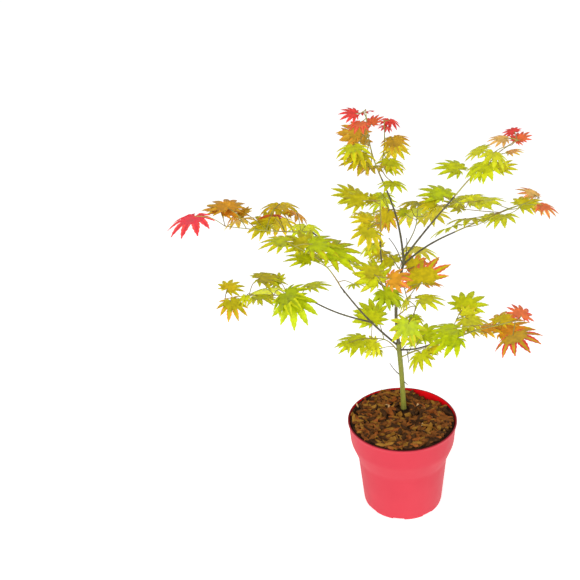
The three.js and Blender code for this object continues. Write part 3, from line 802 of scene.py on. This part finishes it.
def build_limbs(paths):
    """The bark of the trunk, and that of the boughs with their fine twigs."""
    trunk, boughs = Pieces(), Pieces()
    for limb in LIMBS:
        (trunk if "flare" in limb else boughs).add(*limb_mesh(limb, paths[limb["name"]]))
    for twig in TWIGS:
        boughs.add(*twig_mesh(twig, paths[twig["on"]]))
    boughs_stood_for = [limb["name"] for limb in LIMBS if "flare" not in limb]
    trunk.make("trunk_bark", trunk_material(), "trunk_bark", ["trunk"])
    boughs.make("bough_bark", bough_material(), "bough_bark", boughs_stood_for)


# ------------------------------------------------------------------ leaves


def leaf_growth(spray, stem, share, side, draws, scale=1):
    """How one leaf of a spray grows: its stalk's path, its blade's own axes and its size."""
    heading = spray["face"] + side * spray["spread"] + STRAY["heading"] * draws.next()
    size = spray["leaf"] + (spray["tip_leaf"] - spray["leaf"]) * share
    size *= 1 + STRAY["size"] * draws.next()
    length = spray["petiole"] * size * (1 + STRAY["petiole"] * draws.next())
    lift = spray["lift"] + STRAY["lift"] * draws.next()
    droop = spray["droop"] + STRAY["droop"] * draws.next()
    roll = math.radians(STRAY["roll"] * draws.next())
    blade_heading = heading + STRAY["twist"] * draws.next()
    stalk = [point_on(stem, share)]
    for i in range(STALK["steps"]):
        climb = lift * (1 - (i + 0.5) / STALK["steps"] * STALK["fall"])
        stalk.append(stalk[i] + direction(heading, climb) * length / STALK["steps"])
    along = direction(blade_heading, -droop)
    level = direction(blade_heading + 90, 0)
    upright = along.cross(level)
    across = level * math.cos(roll) + upright * math.sin(roll)
    normal = upright * math.cos(roll) - level * math.sin(roll)
    return stalk, (along, across, normal), size * scale


def paired_leaves(spray, stem):
    """The full leaves of a spray, in opposite pairs, each with its draws and its tint."""
    count = len(spray["seeds"])
    nodes = math.ceil(count / 2)
    first = spray["first"]
    grown = []
    for index, (seed, tint) in enumerate(zip(spray["seeds"], spray["tints"].split())):
        alone = index == count - 1 and count % 2 == 1
        side = 0 if alone else index % 2 * 2 - 1
        share = 1 if nodes == 1 else first + (1 - first) * (index // 2) / (nodes - 1)
        draws = Draws(seed)
        grown.append((leaf_growth(spray, stem, share, side, draws), draws, tint))
    return grown


def small_leaves(spray, stem, leaves, space, taken):
    """A spray's small leaves, tinted like the full leaves beside them.

    One that would leave the spray's space or touch what has grown is skipped.
    """
    count, seed = spray["small"]
    grown = []
    for draws in map(Draws, range(seed, seed + count)):
        share, side = draws.between(*SMALL["share"]), draws.next()
        scale = draws.between(*SMALL["scale"])
        growth = leaf_growth(spray, stem, share, side, draws, scale)
        points = feelers(growth)
        if inside(space, points) and clear(taken, points):
            taken.extend(points)
            nearest = min(leaves, key=lambda leaf: (leaf[0][0][-1] - points[0]).length)
            grown.append((growth, draws, nearest[2]))
    return grown


def fan():
    """The angles and lengths of a leaf's lobes from one side to the other."""
    return [(-angle, reach) for angle, reach in reversed(LEAF["lobes"][1:])] + list(LEAF["lobes"])


def feelers(growth):
    """Points spread over a leaf, by which it finds its room."""
    stalk, (along, across, normal), size = growth
    points = [stalk[-1]]
    for angle, reach in fan():
        turn = math.radians(angle)
        for far in (reach / 2, reach):
            place = (along * math.cos(turn) + across * math.sin(turn)) * far
            points.append(stalk[-1] + (place - normal * LEAF["curl"] * far * far) * size)
    return points


def space_of(points):
    """The box round a spray's full leaves, a little larger."""
    beyond = SMALL["beyond"]
    return [(min(p[i] for p in points) - beyond, max(p[i] for p in points) + beyond) for i in range(3)]


def inside(space, points):
    """Whether all the points are in a box."""
    return all(low < point[i] < high for point in points for i, (low, high) in enumerate(space))


def clear(taken, points):
    """Whether all the points keep their distance from what has grown."""
    tree = kdtree.KDTree(len(taken))
    for index, point in enumerate(taken):
        tree.insert(point, index)
    tree.balance()
    return all(tree.find(point)[2] > SMALL["clear"] for point in points)


def blade(base, frame_axes, size, draws):
    """The blade's lobes, each a run of cross sections from the notches beside it to its point.

    Returns the corners, and the faces in two lists: the middle of the leaf and its outer points.
    """
    along, across, normal = frame_axes
    lobes = [
        (angle + LEAF["angle_wobble"] * draws.next(), reach * (1 + LEAF["length_wobble"] * draws.next()))
        for angle, reach in fan()]
    corners, inner, outer = [], [], []

    def put(angle, reach, lift=0.0):
        turn = math.radians(angle)
        drop = lift - LEAF["curl"] * reach * reach
        place = along * math.cos(turn) * reach + across * math.sin(turn) * reach + normal * drop
        corners.append(base + place * size)
        return len(corners) - 1

    def notch(left, right):
        reach = LEAF["sinus"] * math.sqrt(min(left[1], right[1]))
        return put((left[0] + right[0]) / 2, reach, LEAF["sinus_lift"])

    def across_row(right, middle, left):
        """A lobe's cross section, with a point on each half beside its middle rib."""
        beside = [corners[middle].lerp(corners[edge], LEAF["rib"]) for edge in (right, left)]
        corners.extend(beside)
        return right, len(corners) - 2, middle, len(corners) - 1, left

    centre = put(0, 0)
    heels = [put(180 + side * LEAF["heel_angle"], LEAF["heel"]) for side in (-1, 1)]
    notches = [heels[1]] + [notch(a, b) for a, b in zip(lobes, lobes[1:])] + [heels[0]]
    for (angle, reach), right, left in zip(lobes, notches, notches[1:]):
        middle = put(angle, LEAF["sinus"] * LEAF["sinus_middle"] * reach)
        inner += [(centre, right, middle), (centre, middle, left)]
        rows = [across_row(right, middle, left)]
        for k, (share, width) in enumerate(LOBE_WIDTHS):
            toothed = width + LEAF["teeth"][k % 2]
            turn = math.degrees(math.atan2(toothed, share))
            far = math.hypot(toothed, share) * reach
            lift = LEAF["fold"] * width
            right_edge, rib = put(angle - turn, far, lift), put(angle, share * reach)
            rows.append(across_row(right_edge, rib, put(angle + turn, far, lift)))
        tip = put(angle, reach)
        outer_from = draws.between(*TIP_FROM)
        for (share, _), low, high in zip(LOBE_WIDTHS, rows, rows[1:]):
            for k in range(4):
                on_rib = k in (1, 2)
                faces = inner if on_rib or share < outer_from else outer
                faces.append((low[k], high[k], high[k + 1], low[k + 1]))
        outer += [(rows[-1][k], tip, rows[-1][k + 1]) for k in range(4)]
    return corners, inner, outer


def build_sprays(paths):
    """Grow every spray's full leaves first, then the small leaves that still find room."""
    stems, sprays_leaves, spaces = [], [], []
    taken = [point for path in paths.values() for point in points_along(path, 40)]
    for spray in SPRAYS:
        start = point_on(paths[spray["on"]], spray["at"])
        stem = bowed_path(start, spray["end"], spray["bow"], STEM["steps"])
        leaves = paired_leaves(spray, stem)
        points = [point for growth, _, _ in leaves for point in feelers(growth)]
        stems.append(stem)
        sprays_leaves.append(leaves)
        spaces.append(space_of(points))
        taken += points + points_along(stem, 12)
    grown = [leaf for leaves in sprays_leaves for leaf in leaves]
    for spray, stem, leaves, space in zip(SPRAYS, stems, sprays_leaves, spaces):
        grown += small_leaves(spray, stem, leaves, space, taken)
    stalks = Pieces()
    blades = {name: Pieces() for name in TINTS}
    for stem in stems:
        taper = tapered(STEM["foot"], STEM["tip"])
        stalks.add(*tube(smooth_path(stem, STEM["parts"]), taper, STEM["sides"], relief=STEM["relief"]))
    for (stalk, axes, size), draws, tint in grown:
        under = stalk[-1] + axes[0] * size * STALK["under_blade"]
        run = smooth_path(stalk + [under], STALK["parts"])
        stalks.add(*tube(run, tapered(STALK["foot"], STALK["tip"]), STALK["sides"]))
        stalks.add(*bud(stalk[0], (stalk[1] - stalk[0]).normalized()))
        corners, inner, outer = blade(stalk[-1], axes, size, draws)
        middle, _, points = tint.partition("/")
        blades[middle].add(corners, inner)
        blades[points or middle].add(corners, outer)
    names = [spray["name"] for spray in SPRAYS]
    stalks.make("leaf_stalks", stalk_material(), "bough_bark", names)
    for name, heap in blades.items():
        slot, code = TINTS[name]
        heap.make(f"leaves_{name}", leaf_material(name, code), slot, names)


def bud(place, ahead):
    """A small swelling with a pointed bud at a node."""
    path = [place + ahead * BUD["size"] * share for share in BUD["places"]]
    last = len(path) - 1
    return tube(path, lambda share: BUD["size"] * BUD["widths"][round(share * last)], BUD["sides"])


# ------------------------------------------------------------------ stage


def build_stage():
    """A white paper floor under soft light that is whitest near the horizon."""
    bpy.ops.mesh.primitive_plane_add(size=STUDIO["floor"])
    floor = bpy.context.object
    floor.name = "studio_floor"
    paper = skin_shader("studio paper", 0.9, 0.0)
    paper.end("Base Color", paper.mix(paper.grain(3.0), rgb(0xF8F8F8), rgb(0xFDFDFD)))
    paper.end("Emission Color", rgb(0xFFFFFF))
    paper.end("Emission Strength", STUDIO["floor_glow"])
    floor.data.materials.append(paper.owner)
    bpy.context.scene.world = bpy.data.worlds.new("studio")
    studio = Shader(bpy.context.scene.world, "Background")
    ahead = studio.node("ShaderNodeTexCoord")
    height = studio.node("ShaderNodeSeparateXYZ", None, {0: ahead}, 2)
    studio.end("Color", rgb(0xFFFFFF))
    studio.end("Strength", 1 - STUDIO["dimmed"] * height.step(STUDIO["dim_from"], STUDIO["dim_to"]))
    for settings in LAMPS:
        build_lamp(**settings)


def build_lamp(name, place, size, power):
    """A round area lamp that faces the plant."""
    data = bpy.data.lights.new(name, "AREA")
    data.shape = "DISK"
    data.size = size
    data.energy = power
    made = bpy.data.objects.new(name, data)
    made.location = place
    aim = Vector(LAMPS_AIM) - made.location
    made.rotation_mode = "QUATERNION"
    made.rotation_quaternion = aim.to_track_quat("-Z", "Y")
    bpy.context.scene.collection.objects.link(made)


def build_camera():
    """Stands before the plant and above it, turned a little left and rolled a little."""
    data = bpy.data.cameras.new("view")
    data.lens = CAMERA["lens"]
    data.sensor_width = CAMERA["sensor"]
    made = bpy.data.objects.new("view", data)
    turn = Matrix.Rotation(math.radians(CAMERA["heading"]), 4, "Z")
    tilt = Matrix.Rotation(math.radians(90 - CAMERA["down"]), 4, "X")
    roll = Matrix.Rotation(math.radians(CAMERA["roll"]), 4, "Z")
    made.matrix_world = Matrix.Translation(CAMERA["place"]) @ turn @ tilt @ roll
    bpy.context.scene.collection.objects.link(made)
    bpy.context.scene.camera = made


# ------------------------------------------------------------------ the whole plant

limb_lines = limb_paths()
build_pot()
build_mulch()
build_chips()
build_limbs(limb_lines)
build_sprays(limb_lines)
build_stage()
build_camera()
bpy.context.scene.view_settings.view_transform = "Standard"
